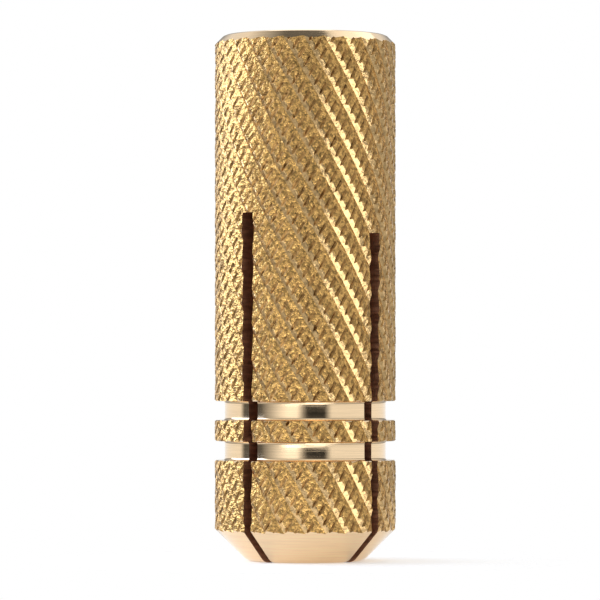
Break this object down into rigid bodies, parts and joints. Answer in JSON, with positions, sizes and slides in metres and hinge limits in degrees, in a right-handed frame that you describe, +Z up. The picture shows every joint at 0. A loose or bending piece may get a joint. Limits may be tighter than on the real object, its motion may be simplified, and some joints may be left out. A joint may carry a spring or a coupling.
{
  "type": "knurled expansion-type threaded insert",
  "caption": "Slit brass sleeve with a knurled outside, a cone nose and a metric threaded bore, pressed into a drilled hole and spread by its screw.",
  "frame": {"origin": "centre of the flat nose face, on the bore's axis", "axes": "+Z up the bore, from the nose to the mouth; the long saw cut lies in the YZ plane and the short one in the XZ plane"},
  "size_m": [0.01, 0.01, 0.029],
  "materials": {
    "brass": "bright turned and knurled brass"
  },
  "bodies": {
    "root": {"insert_sleeve": "brass"}
  },
  "joints": []
}
